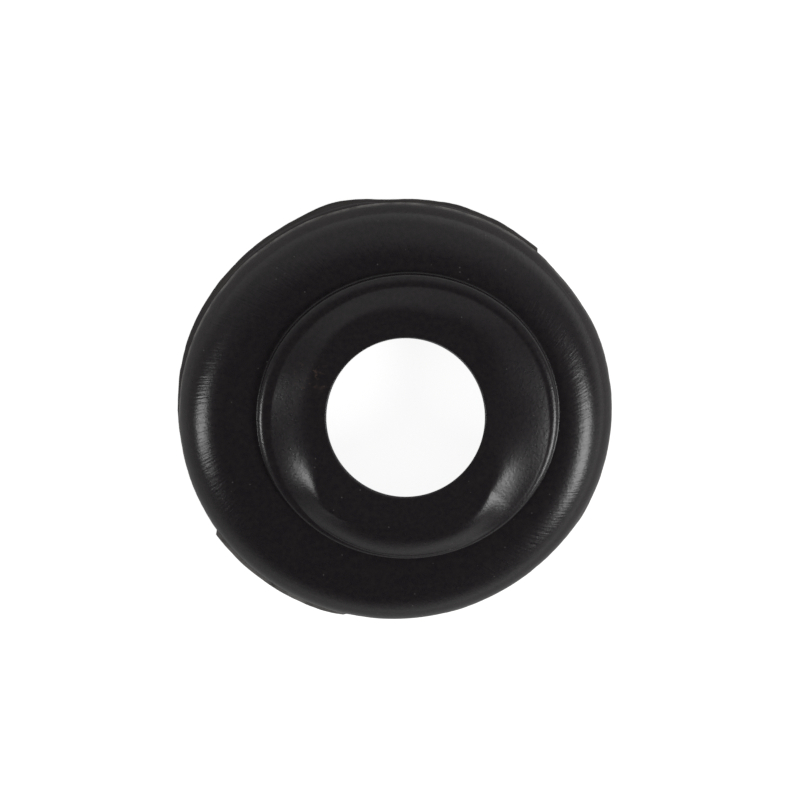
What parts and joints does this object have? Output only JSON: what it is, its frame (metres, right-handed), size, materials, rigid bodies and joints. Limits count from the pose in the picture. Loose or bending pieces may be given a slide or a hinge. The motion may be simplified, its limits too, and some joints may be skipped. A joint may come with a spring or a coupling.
{
  "type": "rubber grommet",
  "caption": "Black rubber grommet with a domed front flange, a grooved neck, a rear flange and a raised collar round a leaning bore.",
  "frame": {"origin": "middle of the flat rear face, on the axis of the two flanges", "axes": "+Z out of the domed front, along the axis of the flanges; the bore leans towards +Y"},
  "size_m": [0.0432, 0.0432, 0.0094],
  "materials": {
    "black_rubber": "satin"
  },
  "bodies": {
    "root": {"grommet": "black_rubber"}
  },
  "joints": []
}
